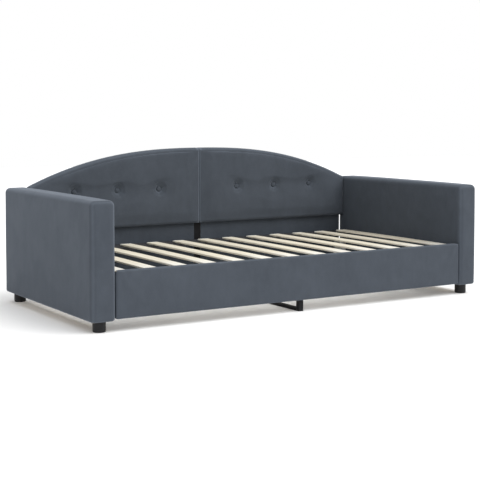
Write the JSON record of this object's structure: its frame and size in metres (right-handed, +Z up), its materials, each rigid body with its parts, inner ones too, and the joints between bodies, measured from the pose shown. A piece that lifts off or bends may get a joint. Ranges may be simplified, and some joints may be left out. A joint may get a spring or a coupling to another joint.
{
  "type": "daybed",
  "caption": "Upholstered daybed with square padded arms, a low front rail, an arched button-tufted back in two halves and a lift-out slatted base.",
  "frame": {"origin": "centre of the footprint, on the floor", "axes": "+X along the bed to the right-hand arm seen from the front, +Y from the front rail to the back, +Z up"},
  "size_m": [2.258, 1.089, 0.778],
  "materials": {
    "velvet": "short velvet pile",
    "slat_wood": "planed, unvarnished",
    "frame_wood": "raw plywood and batten",
    "dark_wood": "stained black",
    "webbing": "woven tape",
    "black_plastic": "moulded, satin",
    "black_steel": "powder coated",
    "zinc": "zinc plated",
    "tie_cord": "waxed cord"
  },
  "bodies": {
    "bed_frame": {"back_buttons": "velvet", "back_joint_plate": "black_steel", "bracket_screws": "zinc", "button_ties": "tie_cord", "centre_leg": "black_steel", "centre_post": "black_steel", "floor_bar": "black_steel", "foot_front_left": "black_plastic", "foot_front_right": "black_plastic", "foot_rear_left": "black_plastic", "foot_rear_right": "black_plastic", "foot_studs": "zinc", "foot_tee_nuts": "zinc", "front_ledge": "frame_wood", "front_rail_board": "frame_wood", "front_rail_cover": "velvet", "joint_plate_screws": "zinc", "left_arm_base_board": "frame_wood", "left_arm_cover": "velvet", "left_arm_inner_board": "frame_wood", "left_arm_outer_board": "frame_wood", "left_arm_studding": "frame_wood", "left_back_board": "frame_wood", "left_back_bracket": "zinc", "left_back_ledge": "dark_wood", "left_back_lower_cloth": "velvet", "left_back_pad": "velvet", "left_back_rear_cloth": "velvet", "left_front_bracket": "zinc", "leg_screws": "zinc", "right_arm_base_board": "frame_wood", "right_arm_cover": "velvet", "right_arm_inner_board": "frame_wood", "right_arm_outer_board": "frame_wood", "right_arm_studding": "frame_wood", "right_back_board": "frame_wood", "right_back_bracket": "zinc", "right_back_ledge": "dark_wood", "right_back_lower_cloth": "velvet", "right_back_pad": "velvet", "right_back_rear_cloth": "velvet", "right_front_bracket": "zinc"},
    "slatted_base": {"back_ribbon": "webbing", "front_ribbon": "webbing", "slat_01": "slat_wood", "slat_02": "slat_wood", "slat_03": "slat_wood", "slat_04": "slat_wood", "slat_05": "slat_wood", "slat_06": "slat_wood", "slat_07": "slat_wood", "slat_08": "slat_wood", "slat_09": "slat_wood", "slat_10": "slat_wood", "slat_11": "slat_wood", "slat_12": "slat_wood", "slat_13": "slat_wood"}
  },
  "joints": [
    {"name": "base_lift", "type": "slide", "parent": "bed_frame", "child": "slatted_base", "axis": [0, 0, 1], "range_m": [0, 0.55]}
  ]
}
